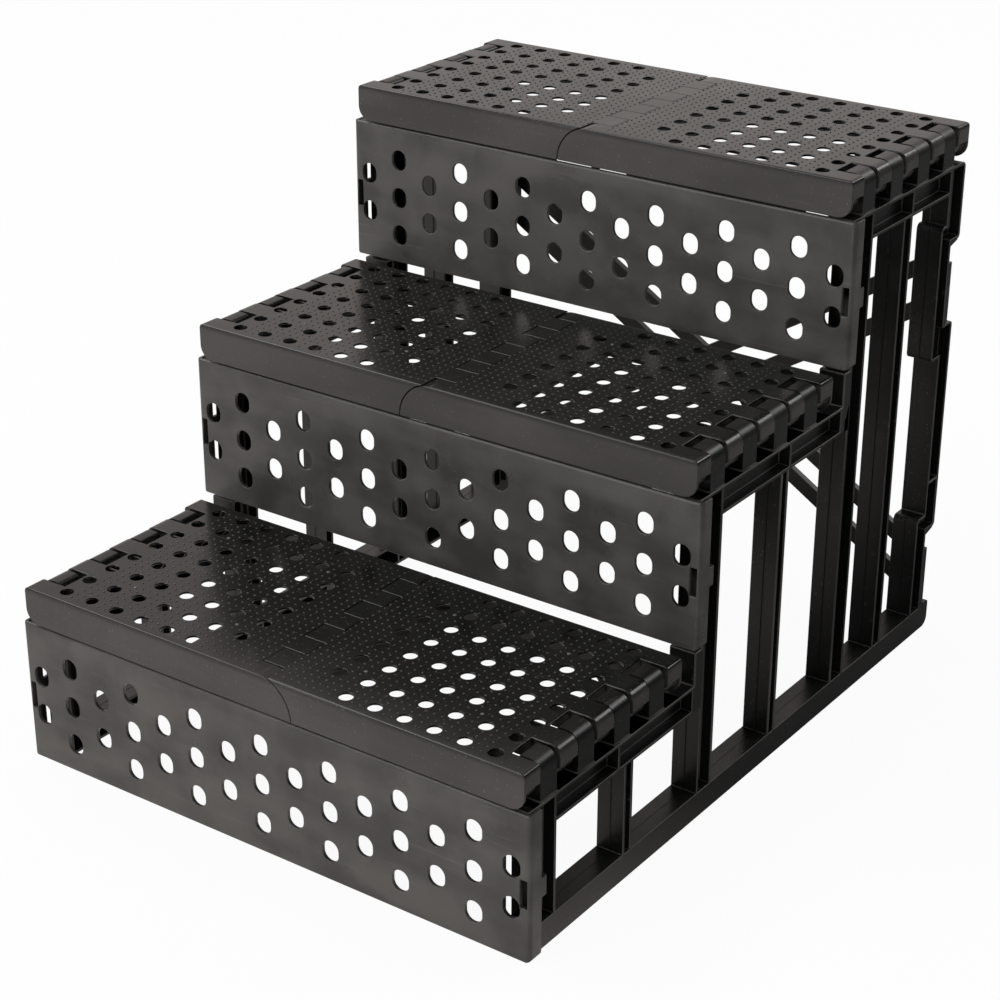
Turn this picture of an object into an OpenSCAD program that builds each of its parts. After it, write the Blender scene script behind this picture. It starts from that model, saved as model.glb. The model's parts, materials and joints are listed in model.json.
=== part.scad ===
// Folding pet stairs: three perforated treads on two ribbed side frames
// Each tread is two halves hinged at a finger seam, so the stairs fold flat from side to side

/* [Stairs] */
// Width over the flanges of the risers
stair_w = 400; // [380:1:440]
// Height from one step to the next
step_rise = 126; // [124:1:140]

/* [Risers] */
// Height of each riser
riser_h = 99; // [96:1:102]
// Thickness of a riser
riser_wall = 2.5; // [2:0.1:3]
// Depth of the flange that wraps a post
flange_d = 11.5; // [10.5:0.5:13]
// Depth of the rib on the other side of the post
inner_rib_d = 9; // [6:0.5:10]
// Radius of the upright corners
riser_corner_r = 3.5; // [3:0.5:6]
// Radius of the face's lower corners
riser_foot_r = 3; // [2:0.5:6]
// Radius of the top front edge
riser_edge_r = 2; // [1:0.1:2]
// Width of an oval hole
oval_w = 12; // [10:0.5:12.5]
// Height of an oval hole
oval_h = 14.5; // [13:0.5:16]
// Height from one hole to the next in a column
oval_rise = 27.6; // [24:0.1:29]
// Height of the middle of the hole pattern
oval_mid_z = 48; // [46:1:52]
// Distance from a riser's end to its last column of holes
oval_inset = 13.2; // [13:0.1:16]
// Height of the hook that holds a riser to its post
hook_h = 13; // [11:0.5:16]
// Height of the hook's lower edge above the riser's foot
hook_z = 39.5; // [38:0.5:42]
// Length of the hook behind the flange
hook_reach = 6; // [5.5:0.5:8]
// Width of the barb that reaches into the post
barb_w = 3; // [2:0.5:4]
// Width of the moulding window in front of the hook
window_w = 4.5; // [3:0.5:4.5]
// Height of the moulding window
window_h = 19; // [15:0.5:20]

/* [Treads] */
// Depth of a tread, front to back
tread_d = 166; // [158:1:174]
// Gap between a tread and the riser behind it
tread_gap = 9; // [6:0.5:12]
// Height of a tread's lip
lip_h = 25.5; // [24:0.5:28]
// Thickness of a tread's top and lips
skin = 2; // [1.8:0.1:2.6]
// Radius of a lip's upper outer corner
lip_corner_r = 3.5; // [2.5:0.5:5]
// Radius of a lip's top edge
lip_edge_r = 1.5; // [1:0.1:1.8]
// Distance from a riser's end to the tread's end
tread_inset = 4.5; // [4.5:0.1:6]
// Gap between a riser's top and the tread's lip
lip_gap = 1; // [0.8:0.1:2]
// Diameter of a hole in a tread
grid_hole_d = 9; // [7:0.5:10]
// Distance from the seam to the first column of holes
first_column = 38.5; // [37:0.5:42]
// Distance from the outer hinge to the last column of holes
last_column = 17.4; // [17.2:0.1:20]
// Distance from the tread's edge to the first row of holes
row_inset = 10.9; // [8.5:0.1:13]
// Depth of the stiffening ribs under a tread
tread_rib_drop = 2.5; // [2:0.5:5]

/* [Hinges] */
// Diameter of a hinge rod
rod_d = 5; // [4:0.1:6]
// Radial clearance where a knuckle turns on a rod
running_fit = 0.08; // [0.05:0.01:0.1]
// Distance from a tread's end to its outer hinge
hinge_inset = 10; // [9.8:0.1:10]
// Depth of the outer hinge below the tread's top
hinge_drop = 15.5; // [15:0.1:15.5]
// Radius of an outer hinge barrel
barrel_r = 7; // [6:0.1:7]
// Radius of a seam barrel
seam_barrel_r = 4.5; // [4:0.1:5]
// Width of a lug on a side frame
lug_w = 16.5; // [15:0.5:18]
// Gap behind a lug
lug_gap = 3.5; // [2:0.5:4]
// Distance from one lug to the next
lug_pitch = 38; // [36:0.5:39]
// Gap between neighbouring knuckles
side_gap = 0.5; // [0.3:0.1:0.8]
// Width of the slot beside a lug
slot_w = 4.5; // [4.5:0.5:6]
// Round outer corner of a knuckle or a lug
knuckle_corner_r = 8; // [7:0.5:9]
// Reach of a seam finger past the middle
finger_reach = 8; // [6:0.5:8]
// Gap at the seam
seam_gap = 0.4; // [0.3:0.1:0.6]

/* [Side frames] */
// Gap between a side frame and the flange of a riser
flange_gap = 1; // [0.9:0.1:1.4]
// Depth of a side frame, side to side
frame_d = 19; // [18:0.5:22]
// Thickness of the web between the ribs
web = 2.5; // [2:0.1:4]
// Thickness of a rib
rib = 2; // [1.6:0.1:2.4]
// Height of the rail under a tread
rail_h = 19; // [16:0.5:22]
// Height of the rail on the floor
foot_rail_h = 18; // [15:0.5:20]
// Width of a post, front to back
post_w = 18; // [15:0.5:20]
// Width of the middle post of the two lower steps
mid_post_w = 9.5; // [8:0.5:12]
// Width of the middle post of the top step
top_post_w = 12; // [10:0.5:14]
// Radius of the rear lower corner
heel_r = 7; // [5:0.5:12]
// Front edge of the gusset behind the foot of a riser
gusset_y = 5; // [4:0.5:7]
// Gap between a gusset and the riser over it
gusset_gap = 4; // [2:0.5:6]

/* [Rear post and brace] */
// Width of the rear post between the brace's ends
rear_post_w = 17; // [16:0.5:19]
// Width of the rear post beside the brace's ends
rear_seat_w = 29; // [27:0.5:32]
// Depth of the recess that takes an end of the brace
recess_d = 13; // [12:0.5:14]
// Height of the upper recess
upper_recess_h = 60; // [56:1:66]
// Height of the lower recess
lower_recess_h = 60; // [56:1:66]
// Distance from the top of the frame to the upper recess
upper_recess_drop = 54; // [50:1:60]
// Height of the cross rib in the rear post
post_rib_z = 119; // [105:1:135]
// Height of an end plate of the brace
plate_h = 44; // [40:1:46]
// Thickness of an end plate
plate_t = 6.5; // [5:0.5:7]
// Height of one bar of the brace
bar_h = 13; // [10:0.5:14]
// Thickness of the bars
bar_t = 5.6; // [5:0.1:7]
// Gap between the bars and the rear posts
bar_gap = 0.4; // [0.3:0.1:1]

/* [Hidden] */
$fn = 48;

// Overrun of every cut
over = 1;
// Gap between pieces that seat on each other
seat_gap = 0.3;
// Radial clearance of a rod in a lug
lug_fit = 0.05;
// Gap between a lip and the ends of the hinge rods, and the rear face of the side frames
end_gap = 1;

// Steps, counted from the floor
tiers = [0, 1, 2];
last_tier = 2;
step_run = tread_d + tread_gap;
function tier_y(i) = i * step_run;
function tier_z(i) = i * step_rise;
function rail_top(i) = tier_z(i) + riser_h;
function rail_floor(i) = rail_top(i) - rail_h;

// Places across the stairs
half_w = stair_w / 2;
tread_half = half_w - tread_inset;
hinge_x = tread_half - hinge_inset;
frame_out = half_w - riser_wall - flange_gap;
frame_in = frame_out - frame_d;

// Heights inside a tread, from the bottom of its lip
hinge_z = lip_h - hinge_drop;
skin_z = lip_h - skin;
tread_rib_z = skin_z - tread_rib_drop;
seam_rib_z = skin;

// Finger layout from front to back, the same at the seam and at the outer hinge
tread_mid = tread_d / 2;
lug_count = 4;
lug_y = [for (k = [0:lug_count - 1]) tread_mid + (k - (lug_count - 1) / 2) * lug_pitch];
lug_bay_w = lug_w + lug_gap - side_gap;
knuckle_w = lug_pitch - lug_bay_w - 2 * side_gap;
knuckle_y = [for (k = [1:lug_count - 1]) lug_y[k] - lug_pitch / 2];
end_w = lug_y[0] - lug_bay_w / 2 - side_gap;
cheek = rib;

// Seam between the halves, turning about a pivot at the bottom of the lips
seam_r = lip_h;
seam_rib_x = seam_r + skin;
seam_barrel_y = end_w / 2;

// Grid of holes in a tread half
grid_columns = 7;
grid_rows = 8;
column_pitch = (hinge_x - last_column - first_column) / (grid_columns - 1);
row_pitch = (tread_d - 2 * row_inset) / (grid_rows - 1);
function column_x(j) = first_column + j * column_pitch;
function row_y(k) = row_inset + k * row_pitch;

// Low ribs under a tread, each between two rows of holes
long_rib_rows = [0.5, 4.5];

// Lugs on a rail, relative to the outer hinge, each a little lower than the tread's knuckles
lug_step = 0.5;
lug_dip = 0.2;
lug_in = 6;
lug_nose_r = 3;
lug_out = hinge_inset - lug_step;
lug_top = hinge_drop - lug_dip;
lug_foot = -(hinge_z + lip_gap);
barrel_merge = 0.5;
lug_wall = lug_out - barrel_r + barrel_merge;
knuckle_skirt = 2;
slot_x = hinge_x - lug_in - slot_w;
rib_setback = 3;

// Posts, relative to the front face of their riser
seat_y = riser_wall + seat_gap;
post_gap = 1.5;
post_front = flange_d + post_gap;
post_back = post_front + post_w;
pocket_d = (frame_d - web) / 2;
barb_y = post_front + rib + seat_gap;

// Middle posts and the upright ribs in the rails, as shares of the run
mid_post_shares = [0.613, 0.613, 0.463];
rail_rib_shares = [0.55, 0.645, 0.497];
function mid_w(i) = i == last_tier ? top_post_w : mid_post_w;
function mid_front(i) = tier_y(i) + mid_post_shares[i] * step_run - mid_w(i) / 2;
function mid_back(i) = mid_front(i) + mid_w(i);
function rail_rib_y(i) = tier_y(i) + rail_rib_shares[i] * step_run;

// Rear post
rear_y = tier_y(last_tier) + tread_d - skin - end_gap;
recess_y = rear_y - recess_d;
rear_in = rear_y - rear_post_w;
rear_seat_in = rear_y - rear_seat_w;
rail_end_w = 22;
frame_top = rail_top(last_tier);
upper_recess_top = frame_top - upper_recess_drop;
upper_recess_z = upper_recess_top - upper_recess_h;
lower_recess_z = foot_rail_h + rib;
lower_recess_top = lower_recess_z + lower_recess_h;
recess_slant = 3;
recess_corner_r = 3;
seat_corner_r = 4;
seat_overhang = 14;
seat_underhang = 23;

// Holes in a riser
oval_columns = 7;
oval_pitch = (half_w - oval_inset) / oval_columns;

// Ends of the rib behind a riser, clear of the rails that slide past it as the stairs fold
inner_rib_gap = 1;
inner_rib_z = [foot_rail_h + inner_rib_gap, riser_h - rail_h - inner_rib_gap];

// Rear brace
brace_front = recess_y + seat_gap;
bar_front = rear_y + bar_gap;
brace_rear = bar_front + bar_t;
plate_gap = 1;
plate_overlap = 1.5;
plate_out = frame_out - plate_gap;
plate_in = frame_in - plate_overlap;
joggle_t = 3.5;
upper_plate_z = upper_recess_z + seat_gap;
lower_plate_z = lower_recess_z + seat_gap;
brace_mid_z = (upper_plate_z + lower_plate_z + plate_h) / 2;
brace_slope = (upper_plate_z - lower_plate_z) / (2 * plate_in);
bar_spread = plate_h - bar_h;
bar_rim = 2;
bar_web = 2;

// The origin lies on the floor, in the middle of the stairs
depth = brace_rear;
origin_y = -depth / 2;

// A box given by its ranges along X, Y and Z
module span(x, y, z) {
  translate([x[0], y[0], z[0]])
    cube([x[1] - x[0], y[1] - y[0], z[1] - z[0]]);
}

// A rectangle given by its two ranges
module bay(a, b) {
  translate([a[0], b[0]])
    square([a[1] - a[0], b[1] - b[0]]);
}

// Waste outside a round corner at the origin, with the body toward -a and -b
module corner_waste(r) {
  translate([-r, -r])
    difference() {
      square(r + over);
      circle(r);
    }
}

// An outline in Y and Z, drawn out along X
module along_x(x, length) {
  translate([x, 0, 0])
    rotate([90, 0, 90])
      linear_extrude(length)
        children();
}

// An outline in X and Z, drawn out along Y
module along_y(y, length) {
  translate([0, y + length, 0])
    rotate([90, 0, 0])
      linear_extrude(length)
        children();
}

// Moves a piece of one step to its place
module on_step(i) {
  translate([0, origin_y + tier_y(i), tier_z(i)])
    children();
}

// Moves an outline to the outer hinge of a tread
module at_hinge() {
  translate([hinge_x, hinge_z])
    children();
}

// Riser

module riser_plan(half, depth, r) {
  difference() {
    translate([-half, 0])
      square([2 * half, depth]);
    for (side = [0, 1])
      mirror([side, 0])
        translate([half, 0])
          mirror([0, 1])
            corner_waste(r);
  }
}

module riser_face() {
  difference() {
    bay([-half_w, half_w], [0, riser_h]);
    for (side = [0, 1])
      mirror([side, 0])
        translate([half_w, 0])
          mirror([0, 1])
            corner_waste(riser_foot_r);
  }
}

module riser_side() {
  difference() {
    bay([0, flange_d], [0, riser_h]);
    translate([0, riser_h])
      mirror([1, 0])
        corner_waste(riser_edge_r);
  }
}

module oval() {
  straight = oval_h - oval_w;
  translate([-oval_w / 2, -straight / 2])
    square([oval_w, straight]);
  for (end = [-1, 1])
    translate([0, end * straight / 2])
      circle(d = oval_w);
}

module riser_holes() {
  for (k = [-oval_columns:oval_columns]) {
    rows = k % 2 == 0 ? [-1, 0, 1] : [-0.5, 0.5];
    for (row = rows)
      translate([k * oval_pitch, oval_mid_z + row * oval_rise])
        oval();
  }
}

module hook() {
  wall_in = half_w - riser_wall;
  tip = flange_d + hook_reach;
  bevel = riser_wall / 2;
  translate([0, 0, hook_z])
    linear_extrude(hook_h)
      polygon([
        [wall_in, flange_d - riser_wall],
        [half_w, flange_d - riser_wall],
        [half_w, tip - bevel],
        [half_w - bevel, tip],
        [wall_in - barb_w, tip],
        [wall_in - barb_w, tip - bevel],
        [wall_in - bevel, barb_y],
        [wall_in, barb_y]
      ]);
}

// Rib behind a riser, in line with the inner side of the post
module inner_rib() {
  rib_out = frame_in - seat_gap;
  span([rib_out - rib, rib_out], [riser_wall / 2, inner_rib_d], inner_rib_z);
}

module riser(i) {
  color([0.17, 0.165, 0.16])
    on_step(i) {
      difference() {
        intersection() {
          linear_extrude(riser_h)
            difference() {
              riser_plan(half_w, flange_d, riser_corner_r);
              translate([0, riser_wall])
                riser_plan(half_w - riser_wall, flange_d, riser_corner_r - riser_wall);
            }
          along_y(0, flange_d)
            riser_face();
          along_x(-half_w, stair_w)
            riser_side();
        }
        along_y(-over, riser_wall + 2 * over)
          riser_holes();
        for (side = [0, 1])
          mirror([side, 0, 0])
            span(
              [half_w - riser_wall - window_w, half_w - riser_wall],
              [-over, riser_wall + over],
              [hook_z + (hook_h - window_h) / 2, hook_z + (hook_h + window_h) / 2]
            );
      }
      for (side = [0, 1])
        mirror([side, 0, 0]) {
          hook();
          inner_rib();
        }
    }
}

// Tread half, drawn on the right of the seam
// A convex half carries the round ends of the seam, the other half the hollow ones

module lip_outline(convex) {
  difference() {
    bay([convex ? 0 : finger_reach + seam_gap, tread_half], [0, lip_h]);
    translate([tread_half, 0])
      mirror([0, 1])
        corner_waste(hinge_z);
    translate([tread_half, lip_h])
      corner_waste(lip_corner_r);
    if (!convex)
      circle(seam_r + seam_gap);
  }
  if (convex)
    seam_quadrant(seam_r);
}

// The quarter disc that a convex end reaches past the seam
module seam_quadrant(r) {
  intersection() {
    circle(r);
    bay([-r, 0], [0, r]);
  }
}

// Ranges of the seam fingers that belong to a half, as middle places
function finger_y(convex) = convex ? knuckle_y : lug_y;
function finger_w(convex) = convex ? knuckle_w : lug_bay_w;

module top_outline(convex) {
  difference() {
    union() {
      bay([finger_reach + seam_gap, slot_x], [0, tread_d]);
      for (y = finger_y(convex))
        bay(
          [-finger_reach, finger_reach + seam_gap],
          [y - finger_w(convex) / 2, y + finger_w(convex) / 2]
        );
      if (convex)
        for (y = [0, tread_d - end_w])
          bay([0, finger_reach + seam_gap], [y, y + end_w]);
    }
    for (j = [0:grid_columns - 1], k = [0:grid_rows - 1])
      if (j > 0 || (k > 0 && k < grid_rows - 1))
        translate([column_x(j), row_y(k)])
          circle(d = grid_hole_d);
  }
}

// Plate that carries a seam barrel under the top
module seam_cheek(reach) {
  polygon([
    [-reach, lip_h],
    [seam_rib_x, lip_h],
    [seam_rib_x, seam_rib_z],
    [seam_barrel_r, 0],
    [-seam_barrel_r, 0],
    [-reach, skin_z]
  ]);
  circle(seam_barrel_r);
}

module seam_end(y, cheek_y, barrel_y) {
  along_y(y, end_w)
    difference() {
      seam_quadrant(seam_r);
      seam_quadrant(seam_r - skin);
    }
  along_y(cheek_y, cheek) {
    seam_quadrant(seam_r);
    seam_cheek(0);
  }
  along_y(barrel_y, end_w - seam_barrel_y)
    circle(seam_barrel_r);
}

module seam_side(convex) {
  for (y = finger_y(convex)) {
    start = y - finger_w(convex) / 2;
    for (place = [start, start + finger_w(convex) - cheek])
      along_y(place, cheek)
        seam_cheek(finger_reach);
    along_y(start, finger_w(convex))
      circle(seam_barrel_r);
  }
  if (convex) {
    seam_end(0, end_w - cheek, seam_barrel_y);
    seam_end(tread_d - end_w, tread_d - end_w, tread_d - end_w);
  }
}

// Round-cornered outline of a knuckle or lug, given by its outer face and top
module knuckle_block(inner, outer, foot, top, r) {
  difference() {
    bay([inner, outer], [foot, top]);
    translate([outer, top])
      corner_waste(r);
  }
}

module knuckle_shell(r) {
  inner = slot_x - hinge_x - skin;
  difference() {
    knuckle_block(inner, hinge_inset, knuckle_skirt, hinge_drop, r);
    knuckle_block(
      inner - over, hinge_inset - skin, knuckle_skirt - over, hinge_drop - skin,
      r - skin
    );
  }
}

module knuckle_cheek(r) {
  inner = slot_x - hinge_x - cheek;
  difference() {
    polygon([
      [inner, hinge_drop],
      [inner, hinge_drop - skin],
      [-barrel_r, 0],
      [barrel_r, 0],
      [hinge_inset, knuckle_skirt],
      [hinge_inset, hinge_drop]
    ]);
    translate([hinge_inset, hinge_drop])
      corner_waste(r);
  }
  circle(barrel_r);
}

module knuckle(y, width, r) {
  along_y(y, width)
    at_hinge() {
      knuckle_shell(r);
      circle(barrel_r);
    }
  for (place = [y, y + width - cheek])
    along_y(place, cheek)
      at_hinge()
        knuckle_cheek(r);
}

module tread_ribs() {
  inside_y = [skin - over, tread_d - skin + over];
  top_z = skin_z + skin / 2;
  span([seam_rib_x, seam_rib_x + rib], inside_y, [seam_rib_z, top_z]);
  for (k = long_rib_rows)
    span(
      [seam_rib_x, slot_x - rib_setback],
      [row_y(k) - rib / 2, row_y(k) + rib / 2],
      [tread_rib_z, top_z]
    );
}

// Waste outside the round top edges of the lips
module lip_edges() {
  along_x(-seam_r - over, tread_half + seam_r + 2 * over) {
    translate([0, lip_h])
      mirror([1, 0])
        corner_waste(lip_edge_r);
    translate([tread_d, lip_h])
      corner_waste(lip_edge_r);
  }
}

module tread_half(convex) {
  difference() {
    union() {
      translate([0, 0, skin_z])
        linear_extrude(skin)
          top_outline(convex);
      for (y = [0, tread_d - skin])
        along_y(y, skin)
          lip_outline(convex);
      tread_ribs();
      seam_side(convex);
      for (y = knuckle_y)
        knuckle(y - knuckle_w / 2, knuckle_w, knuckle_corner_r);
      knuckle(skin, end_w - skin, lip_corner_r);
      knuckle(tread_d - end_w, end_w - skin, lip_corner_r);
    }
    if (!convex)
      for (y = [-over, tread_d - end_w - side_gap])
        along_y(y, end_w + side_gap + over)
          circle(seam_r + seam_gap);
    lip_edges();
    along_y(skin, tread_d - 2 * skin)
      circle(rod_d / 2 + running_fit);
    along_y(skin, tread_d - 2 * skin)
      at_hinge()
        circle(rod_d / 2 + running_fit);
  }
}

// The convex half is on the left of the lowest tread and on the right of the others
function is_convex(i, right) = i == 0 ? !right : right;

module tread(i, right) {
  color([0.10, 0.10, 0.098])
    on_step(i)
      translate([0, 0, riser_h + lip_gap])
        mirror([right ? 0 : 1, 0, 0])
          tread_half(is_convex(i, right));
}

// Hinge rods

module hinge_rod(i, side) {
  inset = side == 0 ? seam_barrel_y : skin + end_gap;
  color([0.62, 0.63, 0.65])
    on_step(i)
      translate([side * hinge_x, 0, riser_h + lip_gap + (side == 0 ? 0 : hinge_z)])
        along_y(inset, tread_d - 2 * inset)
          circle(d = rod_d);
}

// Side frame, drawn on the right

module post_outlines(i) {
  bay([tier_y(i) + post_front, tier_y(i) + post_back], [0, rail_top(i)]);
  bay([mid_front(i), mid_back(i)], [0, rail_top(i)]);
}

module rail_outline(i) {
  rail_end = i == last_tier ? rear_y : tier_y(i + 1) + post_front + rib;
  bay([tier_y(i) + seat_y, rail_end], [rail_floor(i), rail_top(i)]);
}

module gusset_outline(i) {
  bay(
    [tier_y(i) + gusset_y, tier_y(i) + post_front + rib],
    [rail_floor(i - 1), tier_z(i) - gusset_gap]
  );
}

module rear_post_outline() {
  difference() {
    union() {
      bay([rear_in, rear_y], [0, frame_top]);
      bay([rear_seat_in, rear_y], [0, lower_recess_top + seat_overhang]);
      bay(
        [rear_seat_in, rear_y],
        [upper_recess_z - seat_underhang, upper_recess_top + seat_overhang]
      );
      bay([rear_y - rail_end_w, rear_y], [upper_recess_top, frame_top]);
    }
    recess(lower_recess_z, lower_recess_top);
    recess(upper_recess_z, upper_recess_top);
    for (z = [lower_recess_top + seat_overhang, upper_recess_top + seat_overhang])
      translate([rear_seat_in, z])
        mirror([1, 0])
          corner_waste(seat_corner_r);
    translate([rear_seat_in, upper_recess_z - seat_underhang])
      rotate(180)
        corner_waste(seat_corner_r);
  }
}

// Recess for an end plate of the brace, with a slanted top and round mouth
module recess(z, top) {
  polygon([
    [recess_y, z],
    [rear_y + over, z],
    [rear_y + over, top],
    [rear_y, top],
    [recess_y, top - recess_slant]
  ]);
  translate([rear_y, top])
    mirror([0, 1])
      corner_waste(recess_corner_r);
  translate([rear_y, z])
    corner_waste(recess_corner_r);
}

module frame_outline() {
  difference() {
    union() {
      bay([seat_y, rear_y], [0, foot_rail_h]);
      for (i = tiers) {
        post_outlines(i);
        rail_outline(i);
      }
      for (i = [1:last_tier])
        gusset_outline(i);
      rear_post_outline();
    }
    translate([rear_y, 0])
      mirror([0, 1])
        corner_waste(heel_r);
    translate([rear_y, frame_top])
      corner_waste(seat_corner_r);
  }
}

// Recesses between the ribs of the posts
module post_pockets(i) {
  bay(
    [tier_y(i) + post_front + rib, tier_y(i) + post_back - rib],
    [foot_rail_h, rail_top(i) - rib]
  );
  bay(
    [tier_y(i) + seat_y + rib, tier_y(i) + post_front],
    [rail_floor(i) + rib, rail_top(i) - rib]
  );
  bay([mid_front(i) + rib, mid_back(i) - rib], [foot_rail_h, rail_floor(i)]);
}

module rail_pockets(i) {
  inside_z = [rail_floor(i) + rib, rail_top(i) - rib];
  rail_end = i == last_tier ? rear_y - rail_end_w : tier_y(i + 1) + gusset_y - rib;
  bay([tier_y(i) + post_back, rail_rib_y(i) - rib / 2], inside_z);
  bay([rail_rib_y(i) + rib / 2, rail_end], inside_z);
}

module rear_post_pockets() {
  rear_rib = rear_y - rib;
  recess_rib = recess_y - rib;
  seat_bay = [rear_seat_in + rib, recess_rib];
  bay(seat_bay, [foot_rail_h, lower_recess_top + seat_overhang - rib]);
  bay([rear_in + rib, rear_rib], [lower_recess_top + rib, post_rib_z - rib]);
  bay([rear_in + rib, rear_rib], [post_rib_z, upper_recess_z - rib]);
  bay(
    seat_bay,
    [upper_recess_z - seat_underhang + rib, upper_recess_top + seat_overhang - rib]
  );
  bay([rear_y - rail_end_w + 2 * rib, rear_rib], [upper_recess_top + rib, frame_top - rib]);
}

module frame_pockets() {
  for (i = tiers) {
    post_pockets(i);
    rail_pockets(i);
  }
  rear_post_pockets();
}

// The rail on the floor and the gussets are plain outside and hollow inside
module inner_pockets() {
  foot_z = [rib, foot_rail_h - rib];
  for (i = tiers) {
    next_front = i == last_tier ? rear_seat_in : tier_y(i + 1) + post_front;
    bay([tier_y(i) + post_front + rib, tier_y(i) + post_back - rib], foot_z);
    bay([tier_y(i) + post_back, mid_front(i)], foot_z);
    bay([mid_back(i), next_front], foot_z);
  }
  for (i = [1:last_tier])
    bay(
      [tier_y(i) + gusset_y + rib, tier_y(i) + post_front],
      [rail_floor(i - 1) + rib, tier_z(i) - gusset_gap - rib]
    );
}

module lug_outline() {
  difference() {
    knuckle_block(-lug_in, lug_out, lug_foot, lug_top, knuckle_corner_r);
    translate([-lug_in, lug_top])
      mirror([1, 0])
        corner_waste(lug_nose_r);
  }
  bay([-barrel_r, 0], [lug_foot, 0]);
  circle(barrel_r);
}

module lug(y) {
  difference() {
    union() {
      difference() {
        along_y(y, lug_w)
          at_hinge()
            lug_outline();
        along_y(y + lug_wall, lug_w - 2 * lug_wall)
          at_hinge()
            knuckle_block(
              -barrel_r - over, lug_out - lug_wall, lug_foot, lug_top - lug_wall,
              knuckle_corner_r - lug_wall
            );
      }
      along_y(y, lug_w)
        at_hinge()
          circle(barrel_r);
    }
    along_y(y - over, lug_w + 2 * over)
      at_hinge()
        circle(rod_d / 2 + lug_fit);
  }
}

module side_frame() {
  translate([0, origin_y, 0])
    difference() {
      along_x(frame_in, frame_d)
        frame_outline();
      along_x(frame_out - pocket_d, pocket_d + over)
        frame_pockets();
      along_x(frame_in - over, pocket_d + over)
        frame_pockets();
      along_x(frame_in - over, frame_d - web + over)
        inner_pockets();
    }
  for (i = tiers)
    on_step(i)
      translate([0, 0, riser_h + lip_gap])
        for (y = lug_y)
          lug(y - lug_bay_w / 2);
}

module side_frame_left() {
  color([0.085, 0.085, 0.085])
    mirror([1, 0, 0])
      side_frame();
}

module side_frame_right() {
  color([0.085, 0.085, 0.085])
    side_frame();
}

// Rear brace

function arm_z(x) = brace_mid_z + brace_slope * x;

// One bar of an arm, offset upward, with its half height
module bar_outline(offset_z, half_h, reach) {
  polygon([
    [-reach, arm_z(-reach) + offset_z - half_h],
    [reach, arm_z(reach) + offset_z - half_h],
    [reach, arm_z(reach) + offset_z + half_h],
    [-reach, arm_z(-reach) + offset_z + half_h]
  ]);
}

module bars(half_h, reach) {
  for (side = [0, 1], place = [-1, 1])
    mirror([side, 0])
      bar_outline(place * bar_spread / 2, half_h, reach);
}

module brace_end(z) {
  span([plate_in, plate_out], [brace_front, brace_front + plate_t], [z, z + plate_h]);
  span([plate_in - joggle_t, plate_in], [brace_front, brace_rear], [z, z + plate_h]);
}

module rear_brace() {
  color([0.095, 0.095, 0.095])
    translate([0, origin_y, 0]) {
      difference() {
        along_y(bar_front, bar_t)
          bars(bar_h / 2, plate_in);
        along_y(bar_front + bar_web, bar_t)
          bars(bar_h / 2 - bar_rim, plate_in - joggle_t);
      }
      for (side = [0, 1], z = [lower_plate_z, upper_plate_z])
        mirror([side, 0, 0])
          brace_end(z);
    }
}

module riser_1() { riser(0); }
module riser_2() { riser(1); }
module riser_3() { riser(2); }
module tread_1_left() { tread(0, false); }
module tread_1_right() { tread(0, true); }
module tread_2_left() { tread(1, false); }
module tread_2_right() { tread(1, true); }
module tread_3_left() { tread(2, false); }
module tread_3_right() { tread(2, true); }
module hinge_rod_1_left() { hinge_rod(0, -1); }
module hinge_rod_1_centre() { hinge_rod(0, 0); }
module hinge_rod_1_right() { hinge_rod(0, 1); }
module hinge_rod_2_left() { hinge_rod(1, -1); }
module hinge_rod_2_centre() { hinge_rod(1, 0); }
module hinge_rod_2_right() { hinge_rod(1, 1); }
module hinge_rod_3_left() { hinge_rod(2, -1); }
module hinge_rod_3_centre() { hinge_rod(2, 0); }
module hinge_rod_3_right() { hinge_rod(2, 1); }

side_frame_left();
side_frame_right();
tread_1_left();
tread_1_right();
tread_2_left();
tread_2_right();
tread_3_left();
tread_3_right();
riser_1();
riser_2();
riser_3();
rear_brace();
hinge_rod_1_left();
hinge_rod_1_centre();
hinge_rod_1_right();
hinge_rod_2_left();
hinge_rod_2_centre();
hinge_rod_2_right();
hinge_rod_3_left();
hinge_rod_3_centre();
hinge_rod_3_right();
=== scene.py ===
import itertools
import json
import math

import bmesh
import bpy
import numpy as np
from mathutils import Matrix, Vector


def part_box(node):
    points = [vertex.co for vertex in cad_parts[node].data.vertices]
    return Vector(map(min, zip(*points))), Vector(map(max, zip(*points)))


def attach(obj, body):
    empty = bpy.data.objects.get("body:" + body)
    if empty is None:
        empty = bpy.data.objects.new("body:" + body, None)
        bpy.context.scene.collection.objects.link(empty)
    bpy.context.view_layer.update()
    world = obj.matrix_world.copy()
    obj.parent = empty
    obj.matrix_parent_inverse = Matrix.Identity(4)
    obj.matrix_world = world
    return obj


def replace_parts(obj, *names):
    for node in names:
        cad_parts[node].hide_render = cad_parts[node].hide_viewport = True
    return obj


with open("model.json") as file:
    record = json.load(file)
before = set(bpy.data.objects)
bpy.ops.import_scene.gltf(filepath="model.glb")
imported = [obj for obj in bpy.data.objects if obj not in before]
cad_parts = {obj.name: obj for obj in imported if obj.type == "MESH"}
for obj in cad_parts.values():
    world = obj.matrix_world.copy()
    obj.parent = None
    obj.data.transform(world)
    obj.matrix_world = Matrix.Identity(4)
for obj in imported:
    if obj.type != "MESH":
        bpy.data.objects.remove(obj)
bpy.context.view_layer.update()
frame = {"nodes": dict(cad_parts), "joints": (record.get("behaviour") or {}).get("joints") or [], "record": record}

# Folding pet stairs in black moulded plastic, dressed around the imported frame.
# Lengths are in metres: x to the right, y to the back, z up from the floor.
mm = 0.001
bodyOf = {name: body for body, names in frame["record"]["behaviour"]["bodies"].items() for name in names}
slotOf = {part["node"]: part["material_slot"] for part in frame["record"]["subparts"]}
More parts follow.
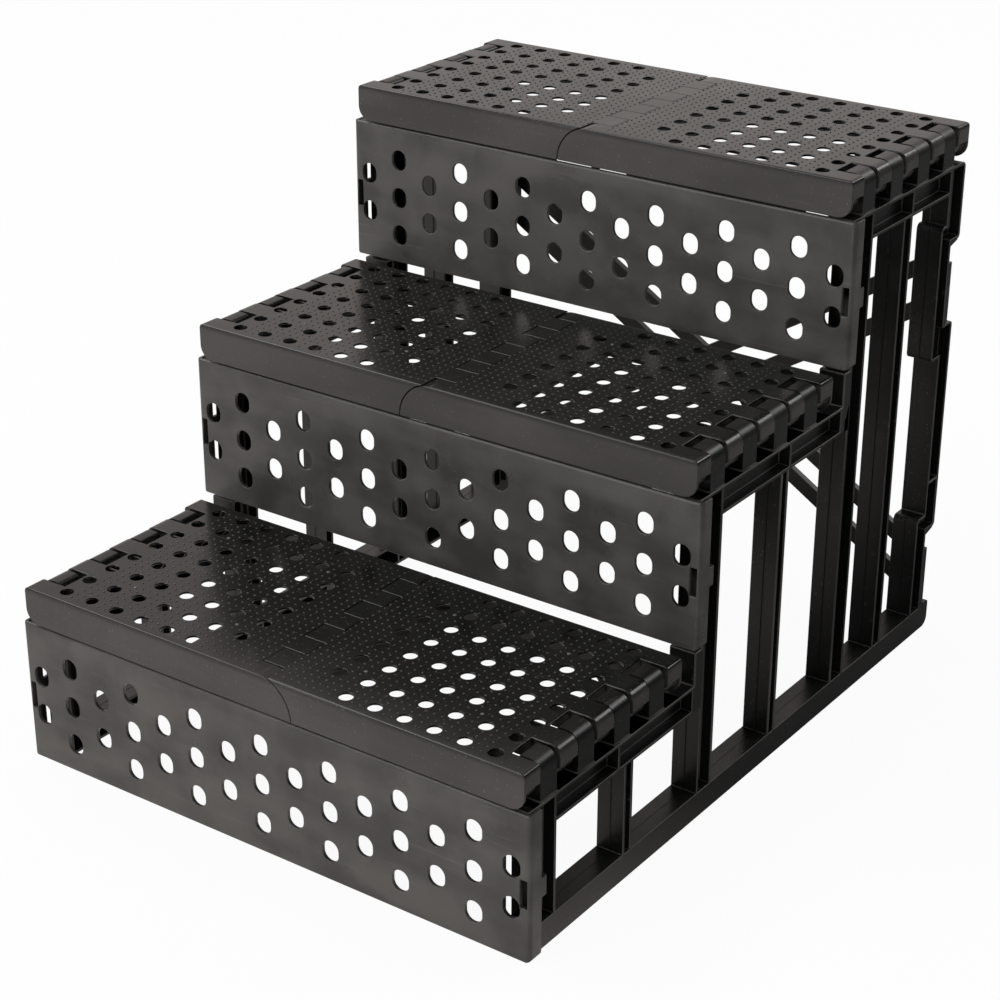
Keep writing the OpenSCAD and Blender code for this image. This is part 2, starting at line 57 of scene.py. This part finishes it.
treadHalves = [(step, side, sign) for step in (1, 2, 3) for side, sign in (("left", -1), ("right", 1))]
print("frame loaded:", len(frame["nodes"]), "nodes")


# Camera

cameraLook = {
    "place": (0.8290, -1.1699, 0.8087),
    "azimuth": 35.551,  # degrees, 0 looks along +y
    "elevation": 24.951,
    "roll": 0.125,
    "lens": 84.456,  # millimetres on a sensor 36 wide
    "sensor": 36.0,
    "nearest": 0.05,
    "farthest": 50,
}


# The camera looks back along (sin a cos e, -cos a cos e, sin e) for an azimuth a and an elevation e,
# its right side is (cos a, sin a, 0), and both other axes then turn by the roll about that line.
def makeCamera(look):
    azimuth, elevation, roll = (math.radians(look[key]) for key in ("azimuth", "elevation", "roll"))
    back = Vector((
        math.sin(azimuth) * math.cos(elevation),
        -math.cos(azimuth) * math.cos(elevation),
        math.sin(elevation),
    ))
    right = Vector((math.cos(azimuth), math.sin(azimuth), 0))
    up = back.cross(right)
    turnedRight = right * math.cos(roll) + up * math.sin(roll)
    turnedUp = up * math.cos(roll) - right * math.sin(roll)
    data = bpy.data.cameras.new("camera")
    data.lens = look["lens"]
    data.sensor_width = look["sensor"]
    data.clip_start = look["nearest"]
    data.clip_end = look["farthest"]
    camera = bpy.data.objects.new("camera", data)
    bpy.context.scene.collection.objects.link(camera)
    axes = Matrix((turnedRight, turnedUp, back)).transposed().to_4x4()
    camera.matrix_world = Matrix.Translation(look["place"]) @ axes
    bpy.context.scene.camera = camera


makeCamera(cameraLook)
print("camera set")


# Shader arithmetic

# A shader socket that takes part in plain arithmetic: each operator adds its Math node.
class Wire:
    def __init__(self, recipe, end):
        self.recipe = recipe
        self.end = end

    def worked(self, operation, first, second):
        return self.recipe.node("ShaderNodeMath", {"operation": operation}, {0: first, 1: second})

    def __add__(self, other):
        return self.worked("ADD", self, other)

    def __radd__(self, other):
        return self.worked("ADD", other, self)

    def __sub__(self, other):
        return self.worked("SUBTRACT", self, other)

    def __rsub__(self, other):
        return self.worked("SUBTRACT", other, self)

    def __mul__(self, other):
        return self.worked("MULTIPLY", self, other)

    def __rmul__(self, other):
        return self.worked("MULTIPLY", other, self)

    def __pow__(self, other):
        return self.worked("POWER", self, other)


# A material or a world, and the nodes that it is made of.
class Recipe:
    def __init__(self, holder):
        self.holder = holder
        holder.use_nodes = True
        self.tree = holder.node_tree
        self.tree.nodes.clear()

    # Adds a node: its settings first, then the values or links of its sockets.
    def node(self, kind, settings=None, sockets=None, out=0):
        made = self.tree.nodes.new(kind)
        for key, value in (settings or {}).items():
            if key == "stops":
                for stop, (position, colour) in zip(made.color_ramp.elements, value):
                    stop.position = position
                    stop.color = colour
            else:
                setattr(made, key, value)
        for key, value in (sockets or {}).items():
            if isinstance(value, Wire):
                self.tree.links.new(value.end, made.inputs[key])
            else:
                made.inputs[key].default_value = value
        return None if out is None else Wire(self, made.outputs[out])

    # The first colour times (1 - share) plus the second times the share.
    def blend(self, share, first, second):
        return self.node("ShaderNodeMix", {"data_type": "RGBA"}, {0: share, 6: first, 7: second}, out=2)

    # A fractal noise from 0 to 1 at a place, which a stretch scales along each axis first.
    def noise(self, place, scale, detail, stretch=None):
        if stretch:
            place = self.node("ShaderNodeMapping", None, {"Vector": place, "Scale": stretch})
        return self.node(
            "ShaderNodeTexNoise", None, {"Vector": place, "Scale": scale, "Detail": detail}, out="Fac"
        )

    # Turns a noise that hovers about one half into a mask from 0 to 1 between two levels.
    def mask(self, wire, low, high):
        return self.node(
            "ShaderNodeMapRange", {"interpolation_type": "SMOOTHSTEP"},
            {"Value": wire, "From Min": low, "From Max": high},
        )

    # How far a place or a direction lies along an axis: their dot product.
    def along(self, place, axis):
        return self.node(
            "ShaderNodeVectorMath", {"operation": "DOT_PRODUCT"}, {0: place, 1: axis}, out="Value"
        )

    # The first shader times (1 - share) plus the second times the share.
    def layer(self, share, first, second):
        return self.node("ShaderNodeMixShader", None, {0: share, 1: first, 2: second})

    # Joins the surface to its output and hands back the material or world.
    def finish(self, surface, kind="ShaderNodeOutputMaterial"):
        self.node(kind, None, {"Surface": surface}, out=None)
        return self.holder


# Moulded plastic: a dark ground with broad clouds, flow streaks from the gate, fine scratches and
# specks of dust, rubbed patches that shine more, and a skin that waves a little where it cooled.
# The ground is dark where 0.55 cloud + 0.45 streak is low and light where it is high. Roughness is
# the plain value, plus the drift times the cloud, less the shine of the rubbed patches.
def mouldedPlastic(name, look):
    recipe = Recipe(bpy.data.materials.new(name))
    place = recipe.node("ShaderNodeTexCoord", out="Object")
    cloud = recipe.noise(place, look["cloudScale"], 5.0)
    streak = recipe.noise(place, look["streakScale"], 5.0, look["streakStretch"])
    grain = recipe.noise(place, look["grainScale"], 2.0)
    ripple = recipe.noise(place, look["rippleScale"], 1.5)
    rubbed = recipe.mask(recipe.noise(place, look["rubScale"], 6.0), *look["rubLevels"])
    scratches = recipe.noise(place, look["scratchScale"], 3.0, look["scratchStretch"])
    scratch = recipe.mask(scratches, *look["scratchLevels"])
    dust = recipe.mask(recipe.noise(place, look["dustScale"], 1.0), *look["dustLevels"])
    tint = recipe.mask(cloud * look["cloudShare"] + streak * look["streakShare"], *look["tintLevels"])
    ground = recipe.blend(tint, (*look["dark"], 1), (*look["light"], 1))
    if "topShade" in look:
        # painted shade: the top of each tread is darker than the rest of its plastic, in a band below the top of
        # its own step, the same for every step
        height = recipe.along(place, (0, 0, 1))
        below = recipe.node("ShaderNodeMath", {"operation": "MODULO"}, {0: topOfLast - height, 1: stepRise})
        topShadeFade = recipe.mask(below, *look["topBand"])
        ground = recipe.blend(topShadeFade, (*look["topShade"], 1), ground)
    marks = scratch * look["scratchShare"] + dust * look["dustShare"]
    colour = recipe.blend(marks, ground, (*look["markColour"], 1))
    roughness = look["roughness"] + (cloud - 0.5) * look["roughnessDrift"]
    roughness = roughness + (grain - 0.5) * look["grainDrift"]
    roughness = roughness - rubbed * look["rubShine"] + marks * look["markDull"]
    height = ripple * look["rippleHeight"] + grain * look["grainHeight"] + streak * look["streakHeight"]
    bump = recipe.node("ShaderNodeBump", None, {"Strength": 1.0, "Distance": mm, "Height": height})
    surface = recipe.node("ShaderNodeBsdfPrincipled", None, {
        "Base Color": colour,
        "Roughness": roughness,
        "Normal": bump,
        "IOR": look["ior"],
    })
    return recipe.finish(surface)


# Drawn wire: pale steel with fine lines along its length, which are its rougher places, and
# duller spots.
def drawnWire(name, look):
    recipe = Recipe(bpy.data.materials.new(name))
    place = recipe.node("ShaderNodeTexCoord", out="Object")
    lines = recipe.noise(place, look["lineScale"], 4.0, look["lineStretch"])
    spots = recipe.mask(recipe.noise(place, look["spotScale"], 5.0), *look["spotLevels"])
    surface = recipe.node("ShaderNodeBsdfPrincipled", None, {
        "Base Color": recipe.blend(spots, (*look["steel"], 1), (*look["spot"], 1)),
        "Metallic": 1.0,
        "Roughness": look["roughness"] + lines * look["lineDull"],
    })
    return recipe.finish(surface)


# Scales are in features per metre, heights in millimetres, and each pair of levels is the noise
# where a mask begins and where it is full.
plasticBase = {
    "cloudScale": 11.0,
    "cloudShare": 0.55,
    "streakScale": 26.0,
    "streakStretch": (0.35, 1.0, 1.6),
    "streakShare": 0.45,
    "tintLevels": (0.38, 0.62),
    "grainScale": 1500.0,
    "rippleScale": 24.0,
    "rubScale": 16.0,
    "rubLevels": (0.50, 0.68),
    "scratchScale": 140.0,
    "scratchStretch": (0.12, 1.0, 2.5),
    "scratchLevels": (0.66, 0.74),
    "scratchShare": 0.10,
    "dustScale": 700.0,
    "dustLevels": (0.70, 0.78),
    "dustShare": 0.35,
    "markColour": (0.16, 0.15, 0.14),
    "markDull": 0.25,
    "roughness": 0.34,
    "roughnessDrift": 0.20,
    "grainDrift": 0.08,
    "rubShine": 0.08,
    "rippleHeight": 0.35,
    "grainHeight": 0.02,
    "streakHeight": 0.10,
    "ior": 1.50,
}
riserLook = {
    **plasticBase, "dark": (0.032, 0.0305, 0.029), "light": (0.068, 0.0645, 0.060),
    "cloudScale": 24.0, "scratchShare": 0.16,
    "dustShare": 0.12, "ior": 1.42, "rippleHeight": 0.5, "roughness": 0.32,
}
treadLook = {
    **plasticBase, "dark": (0.026, 0.0245, 0.0235), "light": (0.042, 0.039, 0.037),
    # topShade is painted shade on the tread tops; the band below the top fades it out
    "topShade": (0.0055, 0.0054, 0.0050), "topBand": (2.0 * mm, 6.0 * mm),
    "roughness": 0.24, "roughnessDrift": 0.14, "rubShine": 0.05, "rippleHeight": 0.36, "ior": 1.45,
}
frameLook = {
    **plasticBase, "dark": (0.0036, 0.0034, 0.0031), "light": (0.0075, 0.0072, 0.0068),
    "streakStretch": (1.0, 0.6, 0.3), "scratchStretch": (1.0, 0.12, 1.0), "dustShare": 0.5, "ior": 1.42,
}
braceLook = {**frameLook, "light": (0.014, 0.0135, 0.013)}
# the rounded edges of frame and brace: a lighter plastic, edge wear and a painted highlight along each rim
edgeWearAndHighlightLook = {**frameLook, "dark": (0.030, 0.0285, 0.027), "light": (0.075, 0.072, 0.068), "roughness": 0.42}
plainLook = {key: value for key, value in treadLook.items() if key != "topShade"}
gateLook = {**plainLook, "dark": (0.10, 0.098, 0.095), "light": (0.16, 0.155, 0.15), "roughness": 0.5}
# the grip dots are paler than the tread around them: a painted highlight on each dot
gripHighlightLook = {**plainLook, "dark": (0.040, 0.039, 0.037), "light": (0.075, 0.073, 0.070), "roughness": 0.3}
wireLook = {
    "lineScale": 900.0,
    "lineStretch": (1.0, 0.02, 1.0),
    "lineDull": 0.2,
    "spotScale": 60.0,
    "spotLevels": (0.45, 0.7),
    "steel": (0.50, 0.50, 0.51),
    "spot": (0.34, 0.33, 0.32),
    "roughness": 0.28,
}

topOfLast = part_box("tread_3_left")[1][2] + mm
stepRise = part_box("tread_2_left")[1][2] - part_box("tread_1_left")[1][2]

materials = {
    "riser": mouldedPlastic("charcoal_plastic", riserLook),
    "tread": mouldedPlastic("black_tread_plastic", treadLook),
    "frame": mouldedPlastic("black_frame_plastic", frameLook),
    "brace": mouldedPlastic("black_brace_plastic", braceLook),
    "rod": drawnWire("drawn_wire", wireLook),
}
edgeWearAndHighlightMaterial = mouldedPlastic("frame_edges_wear_and_highlight", edgeWearAndHighlightLook)
gateMaterial = mouldedPlastic("torn_gate_plastic", gateLook)
gripHighlightMaterial = mouldedPlastic("grip_plastic_painted_highlight", gripHighlightLook)
for name, part in frame["nodes"].items():
    part.data.materials.clear()
    part.data.materials.append(materials[slotOf[name]])
print("materials made:", len(materials))


# Softened mouldings: a copy of each plastic node with its doubles merged and its edges rounded.

softEdges = {
    "riser": 0.60 * mm,
    "tread": 0.55 * mm,
    "frame": 0.45 * mm,
    "brace": 0.60 * mm,
}
hingeEdge = 0.95 * mm  # knuckles and lugs are rounder
hingeReach = 17 * mm
leastEdge = 0.08 * mm  # a narrower edge stays sharp
mergeReach = 0.002 * mm  # points this near to each other are one
edgeAngle = math.radians(28)
flatAngle = math.radians(0.3)
straightOn = -0.8  # cosine between two edges that run on into each other
freeShare = 0.9  # of the room beside an edge, for its rounding
sharedShare = 0.45  # the same where the neighbour is rounded too
topDrop = 0.5 * mm  # room under the tread's highest plane for the grip dots
topBand = 1.4 * mm  # the part of a tread that is pressed together to make that room
hingeX = max(abs(joint["pos_m"][0]) for joint in frame["joints"])
hingePins = sorted({
    (round(joint["pos_m"][0], 6), round(joint["pos_m"][2], 6))
    for joint in frame["joints"] if abs(joint["pos_m"][0]) > hingeX / 2
})


# Presses the band under a tread's top downwards: by the drop times the share of the band's height
# that lies below the point.
def pressTop(mesh):
    places = np.empty(len(mesh.vertices) * 3)
    mesh.vertices.foreach_get("co", places)
    places = places.reshape(-1, 3)
    foot = places[:, 2].max() - topBand
    places[:, 2] -= np.clip((places[:, 2] - foot) / topBand, 0, 1) * topDrop
    mesh.vertices.foreach_set("co", places.ravel())


# An edge is sharp where the faces on its two sides turn by more than the edge angle.
def isSharp(edge):
    return edge.is_manifold and edge.calc_face_angle(0) > edgeAngle


# The widest rounding that an edge can take: a share of how far its neighbours at both ends reach
# away from its line, and half as much where they are rounded too.
def roomBeside(edge):
    room = hingeEdge
    for corner in edge.verts:
        along = (edge.other_vert(corner).co - corner.co).normalized()
        for other in corner.link_edges:
            if other is edge or not set(other.link_faces) & set(edge.link_faces):
                continue
            way = other.other_vert(corner).co - corner.co
            sharp = isSharp(other)
            if sharp and way.normalized().dot(along) < straightOn:
                continue
            room = min(room, way.cross(along).length * (sharedShare if sharp else freeShare))
    return room


# A point belongs to a hinge when it lies within the reach of a pin's axis, seen along y.
def nearHinge(point):
    return any(math.hypot(point.x - x, point.z - z) < hingeReach for x, z in hingePins)


# The rounding of every sharp edge: edges that run on into each other take the narrowest of them.
def evenWidths(work, slot):
    widths = {}
    for edge in work.edges:
        if isSharp(edge):
            middle = (edge.verts[0].co + edge.verts[1].co) / 2
            wish = hingeEdge if slot in ("tread", "frame") and nearHinge(middle) else softEdges[slot]
            widths[edge] = min(wish, roomBeside(edge))
    leader = {edge: edge for edge in widths}

    def first(edge):
        while leader[edge] is not edge:
            edge = leader[edge]
        return edge

    for corner in work.verts:
        meeting = [edge for edge in corner.link_edges if edge in widths]
        for one, other in itertools.combinations(meeting, 2):
            ways = [(edge.other_vert(corner).co - corner.co).normalized() for edge in (one, other)]
            if ways[0].dot(ways[1]) < straightOn:
                leader[first(one)] = first(other)
    narrowest = {}
    for edge, width in widths.items():
        narrowest[first(edge)] = min(width, narrowest.get(first(edge), width))
    return {edge: narrowest[first(edge)] for edge in widths}


# Rounds the edges, then keeps every point inside the box of the node that it stands for.
def soften(name):
    slot = slotOf[name]
    mesh = frame["nodes"][name].data.copy()
    work = bmesh.new()
    work.from_mesh(mesh)
    bmesh.ops.remove_doubles(work, verts=work.verts, dist=mergeReach)
    bmesh.ops.dissolve_degenerate(work, dist=mergeReach, edges=work.edges)
    if slot == "tread":  # the other slots have faces that can't be joined round their windows
        bmesh.ops.dissolve_limit(work, angle_limit=flatAngle, verts=work.verts, edges=work.edges)
    for face in work.faces:
        face.smooth = True
    weight = work.edges.layers.float.new("bevel_weight_edge")
    for edge, width in evenWidths(work, slot).items():
        edge.smooth = width > leastEdge
        edge[weight] = width / hingeEdge if edge.smooth else 0
    work.to_mesh(mesh)
    work.free()
    for layer in [layer for layer in mesh.attributes if layer.name == "custom_normal"]:
        mesh.attributes.remove(layer)
    if slot == "tread":
        pressTop(mesh)
    # on frame and brace the bevel faces take the lighter edge plastic: edge wear and a painted highlight
    mesh.materials.append(edgeWearAndHighlightMaterial if slot in ("frame", "brace") else materials[slot])  # for the edges
    draft = bpy.data.objects.new("draft", mesh)
    bpy.context.scene.collection.objects.link(draft)
    bevel = draft.modifiers.new("edges", "BEVEL")
    bevel.width = hingeEdge
    bevel.segments = 2
    bevel.limit_method = "WEIGHT"
    bevel.use_clamp_overlap = False
    bevel.loop_slide = False
    bevel.material = 1
    bevel.harden_normals = True
    finished = draft.evaluated_get(bpy.context.evaluated_depsgraph_get())
    rounded = bpy.data.meshes.new_from_object(finished)
    bpy.data.objects.remove(draft)
    places = np.empty(len(rounded.vertices) * 3)
    rounded.vertices.foreach_get("co", places)
    places = np.clip(places.reshape(-1, 3), *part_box(name))
    rounded.vertices.foreach_set("co", places.ravel())
    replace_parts(addPiece(name + "_moulded", rounded, bodyOf[name]), name)


# A finished mesh becomes a piece at the origin that rides on a body.
def addPiece(name, mesh, body):
    piece = bpy.data.objects.new(name, mesh)
    bpy.context.scene.collection.objects.link(piece)
    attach(piece, body)
    return piece


# Gives a plain mesh its material and adds it as a piece.
def addPlain(name, mesh, body, material):
    mesh.materials.append(material)
    addPiece(name, mesh, body)


for name in frame["nodes"]:
    if slotOf[name] != "rod":
        soften(name)
print("mouldings softened")


# Grip dots

grip = {
    "pitch": 5.8 * mm,
    "radius": 0.80 * mm,
    "rise": 0.46 * mm,
    "sink": 0.1 * mm,
    "seamClear": 9.9 * mm,
    "hingeClear": 20.5 * mm,
    "frontClear": 7.4 * mm,
    "backClear": 5.0 * mm,
    "holeClear": 1.0 * mm,
    "sides": 8,
}
dome = {
    # share of the radius and of the rise at each ring above the sunk foot
    "widths": (1.0, 0.86, 0.5),
    "heights": (0.51, 0.87),
}
holes = {
    "radius": 4.5 * mm,
    "firstColumn": 38.5 * mm,
    "lastColumnFromHinge": 17.4 * mm,
    "columns": 7,
    "rowInset": 10.9 * mm,
    "rows": 8,
}


# Centres of the holes in a right half: a grid whose innermost column lacks its first and last hole.
def holeCentres(hingeX, front, back):
    x = np.linspace(holes["firstColumn"], hingeX - holes["lastColumnFromHinge"], holes["columns"])
    y = np.linspace(front + holes["rowInset"], back - holes["rowInset"], holes["rows"])
    grid = np.stack(np.meshgrid(x, y, indexing="ij"), -1)
    keep = np.ones(grid.shape[:2], bool)
    keep[0, [0, -1]] = False
    return grid[keep]


# A square grid inside a rectangle, without the dots that would touch a hole.
def dotCentres(lowX, highX, lowY, highY, centres):
    x = np.arange(lowX, highX, grip["pitch"])
    y = np.arange(lowY, highY, grip["pitch"])
    dots = np.stack(np.meshgrid(x, y, indexing="ij"), -1).reshape(-1, 2)
    gap = np.linalg.norm(dots[:, None, :] - centres[None, :, :], axis=-1).min(axis=1)
    return dots[gap > holes["radius"] + grip["holeClear"] + grip["radius"]]


# A low dome: rings whose width and height follow a quarter of an ellipse, a middle point and a
# flat foot.
def domeShape(radius, rise, sink, sides):
    turn = np.arange(sides) / sides * 2 * math.pi
    circle = np.stack([np.cos(turn), np.sin(turn)], -1)
    rings = [
        np.column_stack([circle * radius * width, np.full(sides, rise * height)])
        for width, height in zip(dome["widths"], (-sink / rise, *dome["heights"]))
    ]
    points = np.vstack([*rings, [[0, 0, rise]]])
    steps = np.arange(sides)
    following = (steps + 1) % sides
    faces = [tuple(steps[::-1])]
    for lower in (0, sides):
        upper = lower + sides
        faces += [(a + lower, b + lower, b + upper, a + upper) for a, b in zip(steps, following)]
    faces += [(a + 2 * sides, b + 2 * sides, 3 * sides) for a, b in zip(steps, following)]
    return points, faces


# Sets one copy of a shape at each centre and joins them into one mesh.
def scatterMesh(name, shape, centres, smooth=True):
    points, faces = shape
    places = (centres[:, None, :] + points[None, :, :]).reshape(-1, 3)
    lifts = np.arange(len(centres)) * len(points)
    mesh = bpy.data.meshes.new(name)
    allFaces = [tuple(int(corner + lift) for corner in face) for lift in lifts for face in faces]
    mesh.from_pydata(places.tolist(), [], allFaces)
    if smooth:
        mesh.shade_smooth()
    return mesh


gates = {
    "across": (51 * mm, 137 * mm),  # from the seam
    "back": (41 * mm, 130 * mm),  # from the front of the tread
    "radius": 1.3 * mm,
    "rise": 0.48 * mm,
}

dot = domeShape(grip["radius"], grip["rise"], grip["sink"], grip["sides"])
nub = domeShape(gates["radius"], gates["rise"], grip["sink"], grip["sides"])
for step, side, sign in treadHalves:
    node = f"tread_{step}_{side}"
    low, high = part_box(node)
    centres = dotCentres(
        grip["seamClear"], hingeX - grip["hingeClear"],
        low[1] + grip["frontClear"], high[1] - grip["backClear"],
        holeCentres(hingeX, low[1], high[1]),
    )
    gateSpots = np.array([(x, low[1] + y) for x in gates["across"] for y in gates["back"]])
    gap = np.linalg.norm(centres[:, None, :] - gateSpots[None, :, :], axis=-1).min(axis=1)
    centres = centres[gap > 2 * gates["radius"]]
    for name, shape, spots, material in (
        ("grip_dots", dot, centres, gripHighlightMaterial),
        ("gate_marks", nub, gateSpots, gateMaterial),
    ):
        seats = np.column_stack([sign * spots[:, 0], spots[:, 1], np.full(len(spots), high[2] - topDrop)])
        addPlain(f"{name}_{step}_{side}", scatterMesh(name, shape, seats), bodyOf[node], material)
print("grip dots and gate marks set")


# Ribs that carry the hinge knuckles on under the top, one on each side of every hinge slot

ribs = {
    # distance from the seam and depth below the top, round the side of a rib
    "outline": ((156.0, 1.6), (176.0, 1.6), (176.0, 15.0), (163.0, 15.0), (156.0, 6.0)),
    "thick": 1.6 * mm,
    "slots": (15.75 * mm, 53.75 * mm, 91.75 * mm, 129.75 * mm),  # fronts, from the tread's front
    "slotLength": 20.5 * mm,
}


# A flat outline in the x and z plane, given a thickness along y: all front corners, then all
# back corners, two end faces and a ring of sides.
def slabShape(outline, thick):
    count = len(outline)
    ends = [np.column_stack([outline[:, 0], np.full(count, y), outline[:, 1]]) for y in (0, thick)]
    steps = np.arange(count)
    following = (steps + 1) % count
    faces = [tuple(steps), tuple(steps[::-1] + count)]
    faces += [(b, a, a + count, b + count) for a, b in zip(steps, following)]
    return np.vstack(ends), faces


# Turns every face of a closed mesh outwards.
def turnOut(mesh):
    work = bmesh.new()
    work.from_mesh(mesh)
    bmesh.ops.recalc_face_normals(work, faces=work.faces)
    work.to_mesh(mesh)
    work.free()


for step, side, sign in treadHalves:
    node = f"tread_{step}_{side}"
    low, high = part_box(node)
    outline = np.array(ribs["outline"]) * mm * (sign, -1)
    fronts = [start + shift for start in ribs["slots"] for shift in (-ribs["thick"], ribs["slotLength"])]
    seats = np.array([(0, low[1] + front, high[2]) for front in fronts])
    mesh = scatterMesh("ribs", slabShape(outline, ribs["thick"]), seats, smooth=False)
    turnOut(mesh)
    addPlain(f"knuckle_ribs_{step}_{side}", mesh, bodyOf[node], materials["tread"])
print("knuckle ribs set")


# Lip feet: a stepped strip inside each tread's lip that reaches down behind the riser and closes the gap between
# them.
# It is painted shade: a strip of the darkest plastic set in that gap, where it is in shadow.

lipFootShade = {
    # depth behind the riser's front and height above the lip's lower edge, round the profile
    "outline": ((1.8, 2.0), (3.9, 2.0), (3.9, -1.8), (2.9, -1.8), (2.9, 0.2), (1.8, 0.2)),
    "fromSeam": 28.0 * mm,
    "length": 134.0 * mm,
    "gap": 1.0 * mm,  # between a riser and the lip above it
}
for step, side, sign in treadHalves:
    low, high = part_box(f"riser_{step}")
    points, faces = slabShape(np.array(lipFootShade["outline"]) * mm, lipFootShade["length"])
    points = (points[:, [1, 0, 2]] + (lipFootShade["fromSeam"], 0, 0)) * (sign, 1, 1)
    seats = np.array([(0, low[1], high[2] + lipFootShade["gap"])])
    mesh = scatterMesh("lip_foot_shade", (points, faces), seats, smooth=False)
    turnOut(mesh)
    # the near-black frame plastic, so that the strip reads as the shade in the gap
    addPlain(f"lip_foot_shade_{step}_{side}", mesh, bodyOf[f"tread_{step}_{side}"], materials["frame"])
print("lip feet set")


# Parting lines: a fine ridge round the inside of every window of the side frames

window = {
    "across": 187 * mm,  # middle of a side frame's depth
    "floor": 18 * mm,
    "ceilings": (80 * mm, 206 * mm, 332 * mm),
    "lowerWidth": 0.5 * mm,
    "rise": 0.22 * mm,
    "sunkShare": 0.4,  # of the rise, how deep the feet stand in the wall
}


# A roof-shaped ridge along a closed rectangle: at each corner two feet on the wall and a crest
# that stands off it towards the middle of the window.
def ridgeLoop(x, lowY, highY, lowZ, highZ):
    corners = np.array([(lowY, lowZ), (highY, lowZ), (highY, highZ), (lowY, highZ)])
    inward = np.sign(corners.mean(axis=0) - corners)
    half = window["lowerWidth"] / 2
    sunk = corners - inward * window["rise"] * window["sunkShare"]
    crest = corners + inward * window["rise"]
    rings = [
        np.column_stack([np.full(4, x - half), sunk]),
        np.column_stack([np.full(4, x), crest]),
        np.column_stack([np.full(4, x + half), sunk]),
    ]
    steps = np.arange(4)
    following = (steps + 1) % 4
    faces = []
    for near, far in ((0, 1), (1, 2), (2, 0)):
        faces += [
            (4 * near + a, 4 * near + b, 4 * far + b, 4 * far + a) for a, b in zip(steps, following)
        ]
    return np.vstack(rings), faces


bays = [
    (box["box_m"][0][1], box["box_m"][1][1], box["name"])
    for box in frame["record"]["physics"]["openings"] if "frame_step" in box["name"]
]
for side, sign in (("left", -1), ("right", 1)):
    points, faces = [], []
    for lowY, highY, name in bays:
        if not name.startswith(side):
            continue
        step = int(name.split("_")[3])
        loop, loopFaces = ridgeLoop(
            sign * window["across"], lowY, highY, window["floor"], window["ceilings"][step - 1],
        )
        lift = sum(len(part) for part in points)
        points.append(loop)
        faces += [tuple(int(corner) + lift for corner in face) for face in loopFaces]
    mesh = bpy.data.meshes.new("parting")
    mesh.from_pydata(np.vstack(points).tolist(), [], faces)
    turnOut(mesh)
    addPlain(f"parting_lines_{side}", mesh, bodyOf[f"side_frame_{side}"], materials["frame"])
print("parting lines drawn")


# Studio

studio = {
    "paperColour": (0.86, 0.86, 0.86, 1),
    "floorHalf": 12.0,
    "floorWhite": 0.94,  # how far the camera sees the floor as plain white
    "floorMirror": 0.8,  # how far a reflection sees its bright pool
    "fill": 0.55,
    "mirrorColour": (1.0, 0.92, 0.88, 1),
    "mirrorDim": 0.04,
    "skyBright": 0.72,
    "skyAxis": (-0.80, 0.40, 0.20),  # reflections are bright on the left and dim on the right
    "skyBand": (-0.10, 0.55),
    "floorBright": 0.95,
    "floorAxis": (-0.70, -0.70, 0.0),
    "floorBand": (-0.14, 0.10),
    "lamps": [
        # name, place, width and height, power
        ("strip", (-1.5, -0.5, 2.2), (3.0, 0.8), 30),
        ("front", (-0.9, -2.9, 0.9), (1.8, 1.2), 34),
        ("rim", (1.2, 2.1, 1.8), (1.4, 0.8), 16),
    ],
    "target": (0, 0, 0.18),
}


# The floor is white paper. The camera sees it near white with a soft shadow, and a reflection
# sees it bright in front of the stairs and dim to their right.
def makeFloor(look):
    half = look["floorHalf"]
    mesh = bpy.data.meshes.new("floor")
    corners = [(-half, -half, 0), (half, -half, 0), (half, half, 0), (-half, half, 0)]
    mesh.from_pydata(corners, [], [(0, 1, 2, 3)])
    recipe = Recipe(bpy.data.materials.new("floor_paper"))
    place = recipe.node("ShaderNodeTexCoord", out="Object")
    pool = recipe.mask(recipe.along(place, look["floorAxis"]), *look["floorBand"])
    paper = recipe.node("ShaderNodeBsdfDiffuse", None, {"Color": look["paperColour"]})
    white = recipe.node("ShaderNodeEmission", None, {"Strength": 1.0})
    mirror = recipe.node("ShaderNodeEmission", None, {
        "Color": look["mirrorColour"],
        "Strength": look["mirrorDim"] + pool * (look["floorBright"] - look["mirrorDim"]),
    })
    seen = recipe.node("ShaderNodeLightPath", out="Is Camera Ray")
    mirrored = recipe.node("ShaderNodeLightPath", out="Is Glossy Ray")
    surface = recipe.layer(seen * look["floorWhite"], paper, white)
    mesh.materials.append(recipe.finish(recipe.layer(mirrored * look["floorMirror"], surface, mirror)))
    floor = bpy.data.objects.new("floor", mesh)
    bpy.context.scene.collection.objects.link(floor)


# Each lamp is a rectangle that faces the target from its place.
def makeLamps(look):
    target = Vector(look["target"])
    for name, place, size, power in look["lamps"]:
        data = bpy.data.lights.new(name, "AREA")
        data.shape = "RECTANGLE"
        data.size, data.size_y = size
        data.energy = power
        lamp = bpy.data.objects.new(name, data)
        bpy.context.scene.collection.objects.link(lamp)
        lamp.location = place
        lamp.rotation_euler = (target - Vector(place)).to_track_quat("-Z", "Y").to_euler()


# White to the camera, a plain fill where it lights the object, and in reflections dim plus the
# mask along the sky's axis times (bright - dim).
def makeWorld(look):
    recipe = Recipe(bpy.data.worlds.new("studio_air"))
    direction = recipe.node("ShaderNodeTexCoord", out="Generated")
    shine = recipe.mask(recipe.along(direction, look["skyAxis"]), *look["skyBand"])
    seen = recipe.node("ShaderNodeLightPath", out="Is Camera Ray")
    mirrored = recipe.node("ShaderNodeLightPath", out="Is Glossy Ray")
    mirror = look["mirrorDim"] + shine * (look["skyBright"] - look["mirrorDim"])
    air = recipe.node("ShaderNodeBackground", None, {
        "Color": recipe.blend(mirrored, (1, 1, 1, 1), look["mirrorColour"]),
        "Strength": look["fill"] + seen * (1 - look["fill"]) + mirrored * (mirror - look["fill"]),
    })
    bpy.context.scene.world = recipe.finish(air, "ShaderNodeOutputWorld")


bpy.context.scene.view_settings.view_transform = "Standard"
makeFloor(studio)
makeLamps(studio)
makeWorld(studio)
print("studio set")
